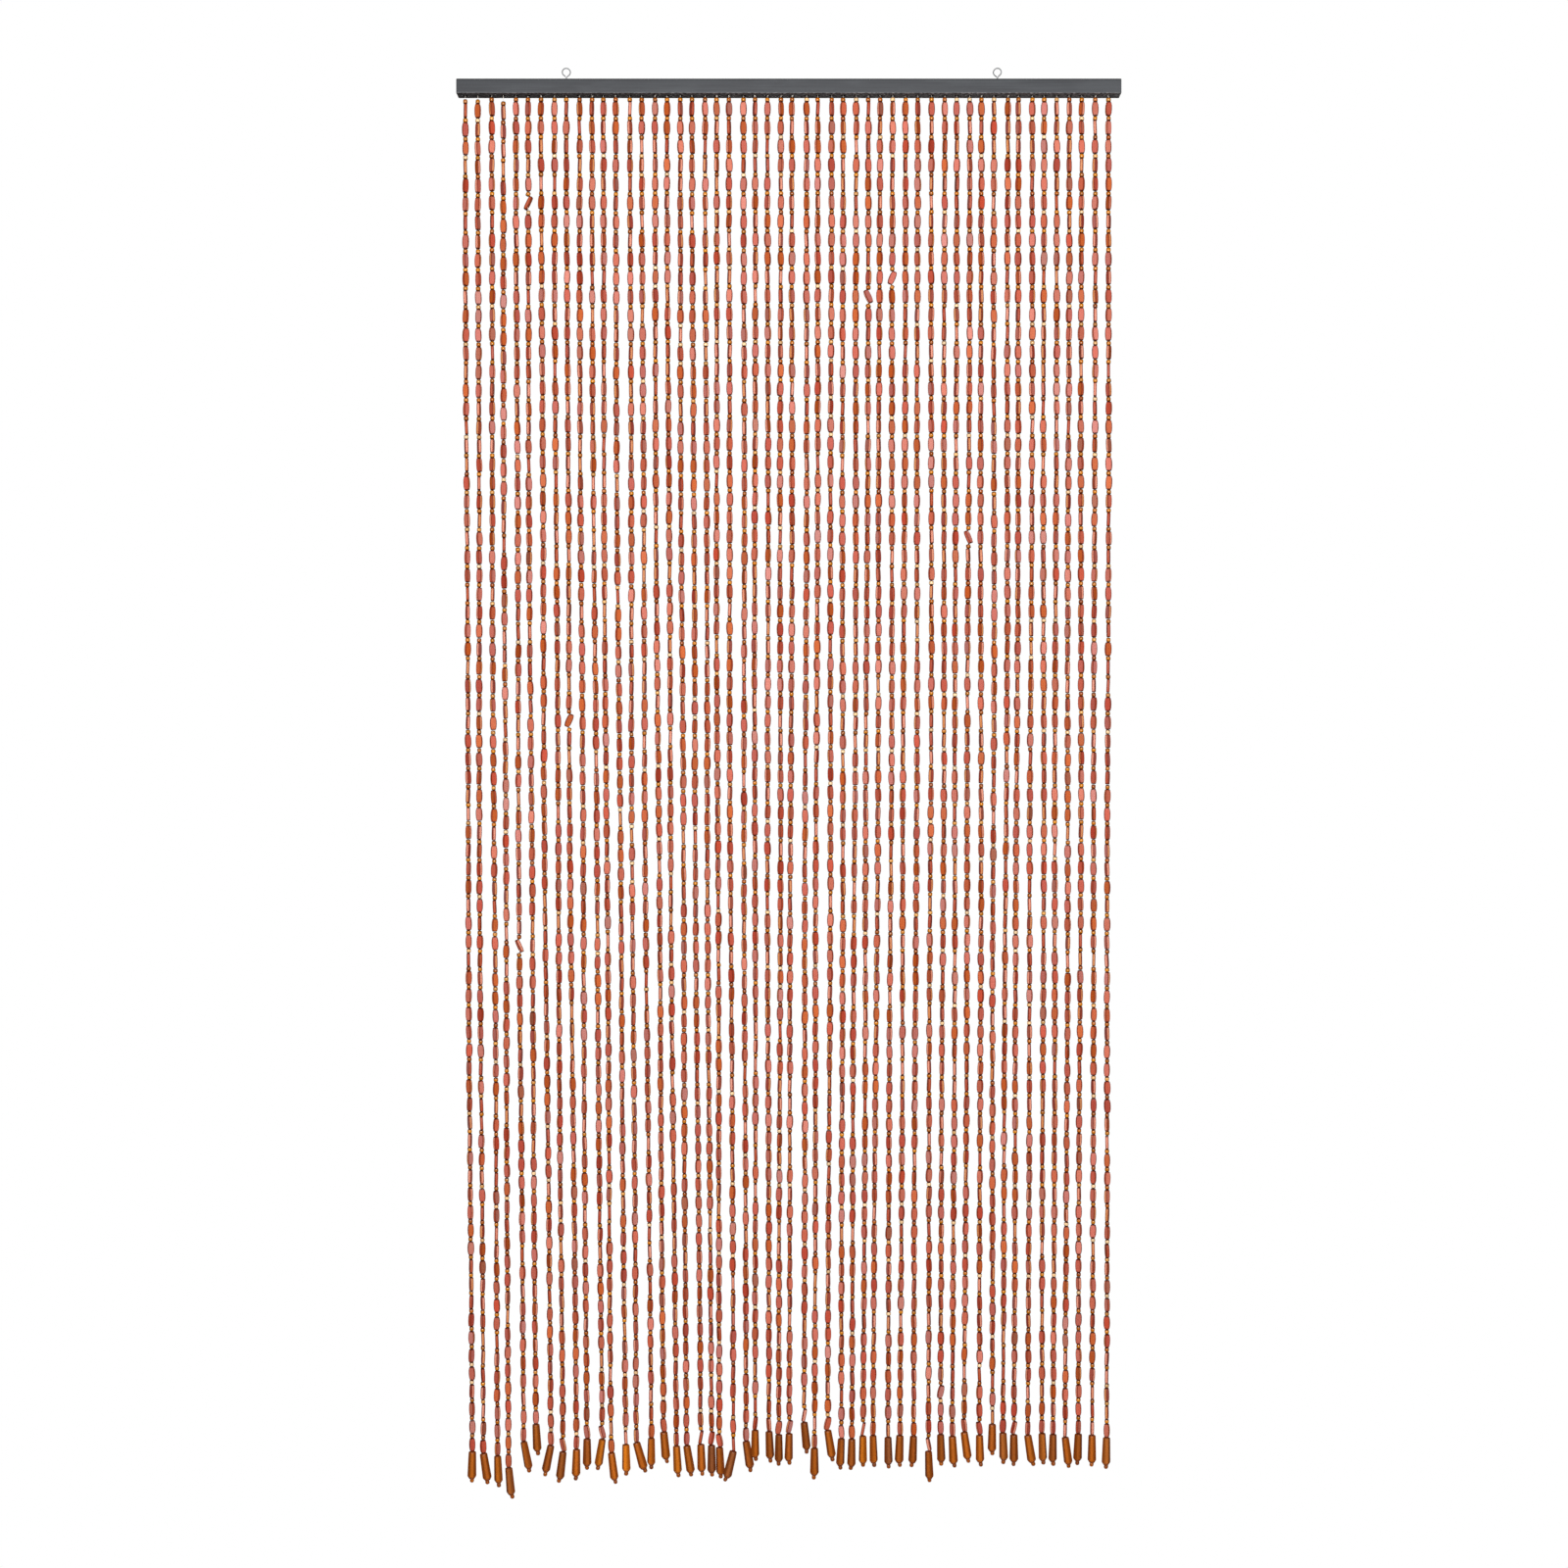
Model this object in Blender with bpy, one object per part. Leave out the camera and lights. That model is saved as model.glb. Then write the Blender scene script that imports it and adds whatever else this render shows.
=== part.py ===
# Bead door curtain: a painted wooden rail with two screw eyes, a row of beaded strands
# and a long wooden end bead on each strand.
# Metres, +Z up. The origin is the centre of the rail's top face. The curtain hangs
# down along -Z, the rail runs along X and the front faces -Y.

import math
import random
from collections import namedtuple

import bmesh
import bpy
from mathutils import Matrix, Vector

MM = 0.001
CLEARANCE = 0.3 * MM
SEED = 580

# Rail
RAIL_LENGTH = 900 * MM
RAIL_DEPTH = 25 * MM
RAIL_HEIGHT = 20 * MM
RAIL_EDGE = 1.2 * MM

# Narrow strip, let into the rail's underside, that holds the roots of the strands
STRIP_LENGTH = 888 * MM
STRIP_WIDTH = 9 * MM
STRIP_THICKNESS = 3 * MM

# Screw eyes, each bent from one wire, in the rail's top
EYE_LEFT_X = -302 * MM
EYE_RIGHT_X = 283 * MM
EYE_WIRE_RADIUS = 0.8 * MM
EYE_RING_RADIUS = 5.4 * MM
EYE_RING_HEIGHT = 11.9 * MM
EYE_NECK_HEIGHT = 4.3 * MM
EYE_SHANK_DEPTH = 12 * MM
EYE_OPEN_ANGLE = math.radians(25)
EYE_END_X = -0.95 * MM
EYE_END_HEIGHT = 5.5 * MM
EYE_RING_STEPS = 24
EYE_HOLE_SIDES = 12

# Strands
STRAND_COUNT = 52
STRAND_PITCH = 17.1 * MM
ROW_MIDDLE_X = -3 * MM
STRAND_WIDTH = 5.6 * MM
STRAND_RINGS = 10
ROOT_LENGTH = 4 * MM
LOOSE_LENGTH = 60 * MM
DRIFT_POWER = 1.5

# How unevenly the strands hang
ROOT_SCATTER = 1.6 * MM
DRIFT_SCATTER = 2.5 * MM
DEPTH_APART = 4 * MM
SWAY = 0.9 * MM
HEM_SCATTER = 4 * MM
LEAN_SCATTER = math.radians(3)
WIDTH_SCATTER = 0.08
TURN_SCATTER = math.radians(25)
LEAST_SPACING = 11.2 * MM

# End bead, turned on a lathe, with the small bead that stops it
END_BEAD_SIDES = 8
Turning = namedtuple("Turning", "below_top radius")
END_BEAD_PROFILE = (
    Turning(0.0 * MM, 3.4 * MM),
    Turning(1.6 * MM, 4.4 * MM),
    Turning(33.5 * MM, 5.3 * MM),
    Turning(38.0 * MM, 2.6 * MM),
    Turning(39.4 * MM, 2.1 * MM),
    Turning(42.0 * MM, 2.9 * MM),
    Turning(44.0 * MM, 1.7 * MM),
)
END_BEAD_LENGTH = END_BEAD_PROFILE[-1].below_top

# The lower end of the row, by strand number from the left: how far below the rail's
# top the tips of the end beads lie, and how far the strands have drifted sideways
HemPoint = namedtuple("HemPoint", "strand below_rail")
HEM = (
    HemPoint(1, 1904 * MM),
    HemPoint(9, 1904 * MM),
    HemPoint(15, 1891 * MM),
    HemPoint(21, 1900 * MM),
    HemPoint(25, 1879 * MM),
    HemPoint(33, 1885 * MM),
    HemPoint(40, 1879 * MM),
    HemPoint(52, 1882 * MM),
)
DriftPoint = namedtuple("DriftPoint", "strand sideways")
DRIFT = (
    DriftPoint(1, 7 * MM),
    DriftPoint(6, 12 * MM),
    DriftPoint(18, 12.5 * MM),
    DriftPoint(21, 6 * MM),
    DriftPoint(26, -1 * MM),
    DriftPoint(34, -8 * MM),
    DriftPoint(42, -4.5 * MM),
    DriftPoint(52, -4 * MM),
)

# Strands that are longer or shorter than their neighbours, or whose end bead leans
OddStrand = namedtuple("OddStrand", "strand longer lean_degrees")
ODD_STRANDS = (
    OddStrand(2, 1 * MM, 9),
    OddStrand(3, 7 * MM, 2),
    OddStrand(4, 21 * MM, 5),
    OddStrand(5, -13 * MM, 11),
    OddStrand(6, -38 * MM, 3),
    OddStrand(7, -8 * MM, -12),
    OddStrand(8, -1 * MM, -7),
    OddStrand(10, -16 * MM, 0),
    OddStrand(11, -12 * MM, -9),
    OddStrand(12, 7 * MM, 7),
    OddStrand(14, -4 * MM, 16),
    OddStrand(16, -16 * MM, 5),
    OddStrand(18, -1 * MM, 9),
    OddStrand(22, 5 * MM, -14),
    OddStrand(23, 1 * MM, 9),
    OddStrand(24, -11 * MM, 0),
    OddStrand(28, -18 * MM, 6),
    OddStrand(29, 18 * MM, 0),
    OddStrand(30, -9 * MM, 9),
    OddStrand(38, 22 * MM, 2),
    OddStrand(41, -1 * MM, 8),
    OddStrand(43, -12 * MM, -1),
    OddStrand(46, 0 * MM, 9),
    OddStrand(49, 4 * MM, 7),
)

# Finishes: colour, roughness and metallic value
Finish = namedtuple("Finish", "colour roughness metallic")
FINISHES = {
    "rail_paint": Finish((0.115, 0.122, 0.130), 0.50, 0.0),
    "zinc_wire": Finish((0.62, 0.62, 0.60), 0.32, 1.0),
    "bead_wood": Finish((0.52, 0.13, 0.07), 0.42, 0.0),
    "end_wood": Finish((0.36, 0.12, 0.02), 0.38, 0.0),
}

# Where a strand ends, seen from the front: its lower end and the lean of its end bead
StrandPath = namedtuple("StrandPath", "root end lean phase")


def clear_scene():
    for obj in list(bpy.data.objects):
        bpy.data.objects.remove(obj)


def finish(name):
    """The named finish as a material, made once."""
    material = bpy.data.materials.get(name)
    if material is None:
        material = bpy.data.materials.new(name)
        material.use_nodes = True
        shader = material.node_tree.nodes["Principled BSDF"]
        colour, roughness, metallic = FINISHES[name]
        shader.inputs["Base Color"].default_value = (*colour, 1.0)
        shader.inputs["Roughness"].default_value = roughness
        shader.inputs["Metallic"].default_value = metallic
        material.diffuse_color = (*colour, 1.0)
    return material


def add_object(name, data, finish_name, parent):
    """Links a mesh or curve as a named object with its finish."""
    obj = bpy.data.objects.new(name, data)
    bpy.context.scene.collection.objects.link(obj)
    if not data.materials:
        data.materials.append(finish(finish_name))
    obj.parent = parent
    return obj


def mesh_from(bm, name):
    """Turns a bmesh into a mesh whose faces point outwards."""
    bmesh.ops.recalc_face_normals(bm, faces=bm.faces)
    mesh = bpy.data.meshes.new(name)
    bm.to_mesh(mesh)
    bm.free()
    return mesh


def block(name, size, centre):
    """A box mesh of that size about that centre."""
    bm = bmesh.new()
    bmesh.ops.create_cube(bm, size=1.0)
    bmesh.ops.scale(bm, vec=size, verts=bm.verts)
    bmesh.ops.translate(bm, vec=centre, verts=bm.verts)
    return mesh_from(bm, name)


def add_cutter(name, mesh, parent):
    """An object that only cuts others, so it isn't part of the curtain."""
    cutter = bpy.data.objects.new(name, mesh)
    bpy.context.scene.collection.objects.link(cutter)
    cutter.parent = parent
    cutter.hide_render = True
    cutter.display_type = "WIRE"
    return cutter


def cut(obj, cutter):
    modifier = obj.modifiers.new(cutter.name, "BOOLEAN")
    modifier.operation = "DIFFERENCE"
    modifier.object = cutter


def between(rows, number):
    """A table's second column at a strand number, on straight lines between its rows."""
    for (first, low), (last, high) in zip(rows, rows[1:]):
        if number <= last:
            share = (number - first) / (last - first)
            return low + (high - low) * share
    return rows[-1][1]


def clear_depth(neighbour, end_x, lean, depth):
    """How far back an end bead hangs: as asked, unless it would cross the bead to its
    left, when it hangs in front of that one or behind it."""
    apart = end_x - neighbour.end.x
    tips_nearer = END_BEAD_LENGTH * (math.sin(neighbour.lean) - math.sin(lean))
    nearest = max(0, min(apart, apart - tips_nearer))
    if nearest >= LEAST_SPACING:
        return depth
    away = math.sqrt(LEAST_SPACING**2 - nearest**2)
    return neighbour.end.y - math.copysign(away, neighbour.end.y)


def strand_paths():
    """Each strand's root, lower end, lean and sway, from the left to the right."""
    scatter = random.Random(SEED)
    odd = {row.strand: row for row in ODD_STRANDS}
    paths = []
    for number in range(1, STRAND_COUNT + 1):
        from_middle = (number - (STRAND_COUNT + 1) / 2) * STRAND_PITCH
        root_x = ROW_MIDDLE_X + from_middle + scatter.uniform(-1, 1) * ROOT_SCATTER
        tip = between(HEM, number)
        lean = scatter.uniform(-1, 1) * LEAN_SCATTER
        drift = between(DRIFT, number) + scatter.uniform(-1, 1) * DRIFT_SCATTER
        side = 1 if number % 2 else -1
        depth = side * scatter.uniform(0.75, 1) * DEPTH_APART
        longer = scatter.uniform(-1, 1) * HEM_SCATTER
        phase = scatter.uniform(0, math.tau)
        if number in odd:
            longer = odd[number].longer
            lean = math.radians(odd[number].lean_degrees)
        # The end bead hangs balanced, so its top moves against its lean
        end_x = root_x + drift - 0.35 * END_BEAD_LENGTH * math.sin(lean)
        if paths:
            depth = clear_depth(paths[-1], end_x, lean, depth)
        end_z = -(tip + longer) + END_BEAD_LENGTH * math.cos(lean) + CLEARANCE
        root = Vector((root_x, 0, -RAIL_HEIGHT))
        paths.append(StrandPath(root, Vector((end_x, depth, end_z)), lean, phase))
    return paths


def point_on(path, share):
    """The strand's centre at a share of its length, 0 at the root and 1 at the end."""
    away = share**DRIFT_POWER
    sway = SWAY * math.sin(math.pi * share) * math.sin(3 * math.pi * share + path.phase)
    return Vector(
        (
            path.root.x + (path.end.x - path.root.x) * away + sway,
            path.end.y * away + sway * math.cos(path.phase),
            path.root.z + (path.end.z - path.root.z) * share,
        )
    )


def ring_shares(path):
    """Where a strand has a ring of corners: below its root, down its length, and above
    and at its lower end."""
    length = path.root.z - path.end.z
    even = [step / STRAND_RINGS for step in range(1, STRAND_RINGS)]
    return [ROOT_LENGTH / length, *even, 1 - LOOSE_LENGTH / length, 1.0]


def strip_lines():
    """The strip's cut lines: along X at each root's two sides, and across Y."""
    half = STRAND_WIDTH / 2
    along = [-STRIP_LENGTH / 2]
    for path in strand_paths():
        along += [path.root.x - half, path.root.x + half]
    along.append(STRIP_LENGTH / 2)
    across = [-STRIP_WIDTH / 2, -half, half, STRIP_WIDTH / 2]
    return along, across


def add_strip(bm):
    """The strip's faces, open at each root. Returns the corners of each root's hole."""
    along, across = strip_lines()
    low = -RAIL_HEIGHT
    grid = [[bm.verts.new((x, y, low)) for y in across] for x in along]
    top = low + STRIP_THICKNESS
    ends = (0, -1)
    upper = [[bm.verts.new((along[i], across[j], top)) for j in ends] for i in ends]
    roots = []
    for i in range(len(along) - 1):
        for j in range(len(across) - 1):
            corners = [grid[i][j], grid[i][j + 1], grid[i + 1][j + 1], grid[i + 1][j]]
            if i % 2 == 1 and j == 1:
                roots.append(corners)
            else:
                bm.faces.new(corners)
    bm.faces.new([upper[0][0], upper[1][0], upper[1][1], upper[0][1]])
    bm.faces.new([row[0] for row in grid] + [upper[1][0], upper[0][0]])
    bm.faces.new([row[-1] for row in grid] + [upper[1][1], upper[0][1]])
    bm.faces.new(grid[0] + [upper[0][1], upper[0][0]])
    bm.faces.new(grid[-1] + [upper[1][1], upper[1][0]])
    return roots


def add_strand(bm, path, corners, scatter):
    """Carries a root's four corners down the strand, ring by ring, and closes its end."""
    half = STRAND_WIDTH / 2
    square = [Vector((x, y, 0)) for x, y in ((-1, -1), (-1, 1), (1, 1), (1, -1))]
    last = corners
    shares = ring_shares(path)
    for share in shares:
        turn = scatter.uniform(-1, 1) * TURN_SCATTER
        wide = half * (1 + scatter.uniform(-1, 1) * WIDTH_SCATTER)
        place = Matrix.Translation(point_on(path, share))
        if share == shares[-1]:
            place = place @ Matrix.Rotation(-path.lean, 4, "Y")
        place = place @ Matrix.Rotation(turn, 4, "Z")
        ring = [bm.verts.new(place @ (corner * wide)) for corner in square]
        for k in range(4):
            after = (k + 1) % 4
            bm.faces.new([last[k], last[after], ring[after], ring[k]])
        last = ring
    bm.faces.new(last)


def build_strands(parent):
    """All strands, fused at their roots into the strip."""
    bm = bmesh.new()
    roots = add_strip(bm)
    scatter = random.Random(SEED + 1)
    for path, corners in zip(strand_paths(), roots):
        add_strand(bm, path, corners, scatter)
    return add_object("strands", mesh_from(bm, "strands"), "bead_wood", parent)


def end_bead_mesh():
    """The end bead, its top face at the origin and its tip down -Z."""
    bm = bmesh.new()
    rings = []
    for below_top, radius in END_BEAD_PROFILE:
        angles = [math.tau * k / END_BEAD_SIDES for k in range(END_BEAD_SIDES)]
        spots = [(math.cos(a) * radius, math.sin(a) * radius, -below_top) for a in angles]
        rings.append([bm.verts.new(spot) for spot in spots])
    for upper, lower in zip(rings, rings[1:]):
        for k in range(END_BEAD_SIDES):
            after = (k + 1) % END_BEAD_SIDES
            bm.faces.new([upper[k], upper[after], lower[after], lower[k]])
    bm.faces.new(rings[0])
    bm.faces.new(rings[-1])
    mesh = mesh_from(bm, "end_bead")
    mesh.shade_smooth()
    mesh.set_sharp_from_angle(angle=math.radians(35))
    return mesh


def build_end_beads(parent):
    """One end bead under each strand, leaning as the strand's end does."""
    mesh = end_bead_mesh()
    for number, path in enumerate(strand_paths(), start=1):
        bead = add_object(f"end_bead_{number:02d}", mesh, "end_wood", parent)
        down = Matrix.Rotation(-path.lean, 3, "Y") @ Vector((0, 0, -1))
        bead.location = point_on(path, 1.0) + down * CLEARANCE
        bead.rotation_euler = (0, -path.lean, 0)


def shank_hole(x):
    """The pilot hole for a screw eye's shank."""
    bm = bmesh.new()
    radius = EYE_WIRE_RADIUS + CLEARANCE
    depth = EYE_SHANK_DEPTH + CLEARANCE
    above = RAIL_EDGE
    bmesh.ops.create_cone(
        bm,
        cap_ends=True,
        segments=EYE_HOLE_SIDES,
        radius1=radius,
        radius2=radius,
        depth=depth + above,
    )
    bmesh.ops.translate(bm, vec=(x, 0, (above - depth) / 2), verts=bm.verts)
    return mesh_from(bm, "shank_hole")


def build_rail(parent):
    """The rail, with a groove for the strip and a pilot hole for each screw eye."""
    size = (RAIL_LENGTH, RAIL_DEPTH, RAIL_HEIGHT)
    mesh = block("rail", size, (0, 0, -RAIL_HEIGHT / 2))
    rail = add_object("rail", mesh, "rail_paint", parent)
    bevel = rail.modifiers.new("eased_edges", "BEVEL")
    bevel.width = RAIL_EDGE
    bevel.segments = 3
    bevel.limit_method = "ANGLE"
    below = RAIL_EDGE
    groove_size = (
        STRIP_LENGTH + 2 * CLEARANCE,
        STRIP_WIDTH + 2 * CLEARANCE,
        STRIP_THICKNESS + CLEARANCE + below,
    )
    groove_middle = -RAIL_HEIGHT - below + groove_size[2] / 2
    groove = block("groove", groove_size, (0, 0, groove_middle))
    cut(rail, add_cutter("groove", groove, parent))
    for side, x in (("left", EYE_LEFT_X), ("right", EYE_RIGHT_X)):
        cut(rail, add_cutter(f"hole_{side}", shank_hole(x), parent))
    return rail


def eye_points():
    """The wire's centreline: up the shank, round the ring and back beside the neck."""
    start = -math.pi / 2 + EYE_OPEN_ANGLE
    sweep = math.tau - 2 * EYE_OPEN_ANGLE
    points = [(0, -EYE_SHANK_DEPTH), (0, 0), (0, EYE_NECK_HEIGHT)]
    for step in range(EYE_RING_STEPS + 1):
        angle = start + sweep * step / EYE_RING_STEPS
        x = EYE_RING_RADIUS * math.cos(angle)
        z = EYE_RING_HEIGHT + EYE_RING_RADIUS * math.sin(angle)
        points.append((x, z))
    points.append((EYE_END_X, EYE_END_HEIGHT))
    return [Vector((x, 0, z)) for x, z in points]


def build_eye(name, x, parent):
    """A screw eye: one wire with a round section and flat ends."""
    curve = bpy.data.curves.new(name, "CURVE")
    curve.dimensions = "3D"
    curve.bevel_depth = EYE_WIRE_RADIUS
    curve.bevel_resolution = 2
    curve.use_fill_caps = True
    points = eye_points()
    spline = curve.splines.new("POLY")
    spline.points.add(len(points) - 1)
    for spot, point in zip(spline.points, points):
        spot.co = (*point, 1.0)
    eye = add_object(name, curve, "zinc_wire", parent)
    eye.location.x = x
    return eye


def build_curtain():
    clear_scene()
    curtain = bpy.data.objects.new("bead_curtain", None)
    bpy.context.scene.collection.objects.link(curtain)
    build_rail(curtain)
    build_eye("eye_left", EYE_LEFT_X, curtain)
    build_eye("eye_right", EYE_RIGHT_X, curtain)
    build_strands(curtain)
    build_end_beads(curtain)


build_curtain()
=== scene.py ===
import math
import random
from functools import partial

import bmesh
import bpy
import numpy as np
from mathutils import Matrix, Vector


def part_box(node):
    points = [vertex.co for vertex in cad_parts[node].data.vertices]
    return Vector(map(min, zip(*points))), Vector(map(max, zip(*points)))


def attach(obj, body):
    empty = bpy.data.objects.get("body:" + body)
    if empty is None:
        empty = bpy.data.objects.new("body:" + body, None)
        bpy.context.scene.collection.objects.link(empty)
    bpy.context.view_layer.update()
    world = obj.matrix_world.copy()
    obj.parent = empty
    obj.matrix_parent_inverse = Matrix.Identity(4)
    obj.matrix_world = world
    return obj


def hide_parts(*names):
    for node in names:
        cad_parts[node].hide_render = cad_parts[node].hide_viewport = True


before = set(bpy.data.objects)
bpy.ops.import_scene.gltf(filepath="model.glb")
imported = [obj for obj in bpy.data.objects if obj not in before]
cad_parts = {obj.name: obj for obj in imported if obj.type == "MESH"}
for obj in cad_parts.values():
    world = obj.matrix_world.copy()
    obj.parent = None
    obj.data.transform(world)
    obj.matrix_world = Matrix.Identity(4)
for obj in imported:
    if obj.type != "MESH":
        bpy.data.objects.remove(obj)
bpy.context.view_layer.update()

# Bead door curtain: painted rail, screw eyes, beaded strands with a long bead at each end.
# The CAD model gives the rail's box and every strand's route; the beads are threaded on those.

mm = 0.001
body = "root"


# Node helpers

class Wire:
    # one output of a node, so that node maths can be written as a sum

    def __init__(self, tree, output):
        self.tree = tree
        self.output = output

    def maths(self, operation, *others):
        values = dict(enumerate([self, *others]))
        return addNode(self.tree, "ShaderNodeMath", {"operation": operation}, values)

    def other(self, name):
        return Wire(self.tree, self.output.node.outputs[name])

    def __add__(self, value):
        return self.maths("ADD", value)

    def __radd__(self, value):
        return self.maths("ADD", value)

    def __sub__(self, value):
        return self.maths("SUBTRACT", value)

    def __rsub__(self, value):
        return addNode(self.tree, "ShaderNodeMath", {"operation": "SUBTRACT"}, {0: value, 1: self})

    def __mul__(self, value):
        return self.maths("MULTIPLY", value)

    def __rmul__(self, value):
        return self.maths("MULTIPLY", value)

    def __abs__(self):
        return self.maths("ABSOLUTE")


def addNode(tree, kind, settings=None, inputs=None, output=0):
    # a node with its settings first, then its sockets' values or links, by name or place
    node = tree.nodes.new(kind)
    for name, value in (settings or {}).items():
        if name == "stops":
            fillRamp(node.color_ramp, value)
        else:
            setattr(node, name, value)
    for name, value in (inputs or {}).items():
        if isinstance(value, Wire):
            tree.links.new(value.output, node.inputs[name])
        else:
            node.inputs[name].default_value = value
    return Wire(tree, node.outputs[output]) if len(node.outputs) else node


def fillRamp(ramp, stops):
    while len(ramp.elements) < len(stops):
        ramp.elements.new(0.5)
    for element, (place, colour) in zip(ramp.elements, stops):
        element.position = place
        element.color = (*colour, 1.0)


def step(wire, low, high):
    # 0 below low and 1 above high, with a soft change between
    return addNode(
        wire.tree,
        "ShaderNodeMapRange",
        {"interpolation_type": "SMOOTHSTEP"},
        {"Value": wire, "From Min": low, "From Max": high},
    )


def blend(tree, share, first, second, kind="MIX"):
    settings = {"data_type": "RGBA", "blend_type": kind}
    return addNode(tree, "ShaderNodeMix", settings, {0: share, 6: first, 7: second}, output=2)


def colour(red, green, blue):
    # a colour as a picture editor shows it, made linear
    def linear(value):
        value /= 255
        return value / 12.92 if value <= 0.04045 else ((value + 0.055) / 1.055) ** 2.4

    return (linear(red), linear(green), linear(blue))


def solid(*shade):
    return (*colour(*shade), 1.0)


def attribute(tree, name, output="Fac"):
    settings = {"attribute_type": "GEOMETRY", "attribute_name": name}
    return addNode(tree, "ShaderNodeAttribute", settings, output=output)


def noise(tree, place, size, detail=2.0, rough=0.5):
    values = {"Vector": place, "Scale": size, "Detail": detail, "Roughness": rough}
    return addNode(tree, "ShaderNodeTexNoise", None, values)


def scaled(tree, place, factors, shift=(0.0, 0.0, 0.0)):
    settings = {"operation": "MULTIPLY_ADD"}
    return addNode(tree, "ShaderNodeVectorMath", settings, {0: place, 1: factors, 2: shift})


def newMaterial(name, fixed):
    # a material with its Principled shader; fixed holds what is the same all over
    material = bpy.data.materials.new(name)
    material.use_nodes = True
    shader = material.node_tree.nodes["Principled BSDF"]
    for socket, value in fixed.items():
        shader.inputs[socket].default_value = value
    return material, material.node_tree, shader


def feed(shader, **wires):
    names = {"baseColour": "Base Color", "roughness": "Roughness", "normal": "Normal"}
    tree = shader.id_data
    for name, wire in wires.items():
        tree.links.new(wire.output, shader.inputs[names[name]])


def bump(tree, height, strength, distance):
    return addNode(
        tree,
        "ShaderNodeBump",
        None,
        {"Strength": strength, "Distance": distance, "Height": height},
    )


# Wood finishes

ovalFinish = {
    "stains": (
        (0.00, (178, 80, 30)),
        (0.14, (200, 100, 52)),
        (0.26, (190, 92, 66)),
        (0.40, (206, 118, 96)),
        (0.54, (188, 72, 48)),
        (0.68, (210, 128, 112)),
        (0.82, (176, 64, 44)),
        (0.94, (202, 130, 120)),
        (1.00, (162, 92, 66)),
    ),
    "paleSide": (214, 148, 124),
    "tanSide": (196, 136, 84),
    "darkSide": (156, 68, 42),
    # colour of the painted shade along the beads' long edges
    "rim": (116, 34, 12),
    # colour of the painted shade at the beads' ends, where they meet
    "end": (76, 20, 6),
}


def makeOvalWood():
    # stained face and paler cut side, with painted shade as a dark rim between them and as darker ends
    # where the beads meet, in the bead's own axes
    material, tree, shader = newMaterial("ovalBeadWood", {"Specular IOR Level": 0.12})
    place = attribute(tree, "beadPlace", "Vector")
    across = addNode(tree, "ShaderNodeSeparateXYZ", None, {0: place}, "X")
    side = abs(across)
    along = abs(across.other("Z"))
    tone = attribute(tree, "tone")
    shade = attribute(tree, "shade")
    stops = [(spot, colour(*stain)) for spot, stain in ovalFinish["stains"]]
    stain = addNode(tree, "ShaderNodeValToRGB", {"stops": stops}, {"Fac": tone})
    offset = addNode(tree, "ShaderNodeCombineXYZ", None, {0: tone * 31.0, 1: shade * 17.0})
    grainPlace = scaled(tree, place, (5.5, 2.6, 1.1), offset)
    grain = noise(tree, grainPlace, 1.6, 4.0, 0.6)
    pores = noise(tree, scaled(tree, place, (14.0, 6.0, 1.6), offset), 2.4, 2.0, 0.5)
    bright = 0.68 + 0.26 * shade + 0.28 * (grain - 0.5)
    light = addNode(tree, "ShaderNodeCombineColor", None, {0: bright, 1: bright, 2: bright})
    face = blend(tree, 1.0, stain, light, "MULTIPLY")
    lot = (tone * 7.3 + shade * 3.1).maths("FRACT")
    sides = {name: solid(*ovalFinish[name]) for name in ("darkSide", "paleSide", "tanSide")}
    bareSide = blend(tree, step(lot, 0.28, 0.38), sides["darkSide"], sides["paleSide"])
    bareSide = blend(tree, step(lot, 0.72, 0.8), bareSide, sides["tanSide"])
    sideColour = blend(tree, 0.8, stain, bareSide)
    sideMask = step(side, 0.93, 0.99)
    # painted shade, darkening the face towards its long edges
    faceRimShade = step(side, 0.62, 0.86) * (1 - sideMask)
    # painted shade along the cut side's long edges
    sideRimShade = step(abs(across.other("Y")), 0.36, 0.6) * sideMask * 0.75
    # painted shade at both ends, where the beads meet
    endShadeMask = step(along, 0.8, 0.92)
    # dark holds all the painted rim shade of face and side
    dark = faceRimShade.maths("MAXIMUM", sideRimShade)
    painted = blend(tree, sideMask * 0.92, face, sideColour)
    rimShaded = blend(tree, dark * 0.93, painted, solid(*ovalFinish["rim"]))
    finished = blend(tree, endShadeMask * 0.95, rimShaded, solid(*ovalFinish["end"]))
    rough = 0.36 + 0.16 * pores
    raised = bump(tree, pores * 0.6 + grain * 0.4, 0.25, 0.0003)
    feed(shader, baseColour=finished, roughness=rough, normal=raised)
    return material


spacerFinish = {
    "stains": (
        (0.0, (150, 70, 4)),
        (0.28, (184, 108, 12)),
        (0.56, (198, 124, 22)),
        (0.78, (160, 82, 8)),
        (0.9, (206, 146, 70)),
        (1.0, (236, 202, 156)),
    ),
    # colour of the painted shade at the spacers' ends
    "ends": (68, 22, 4),
}


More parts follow.
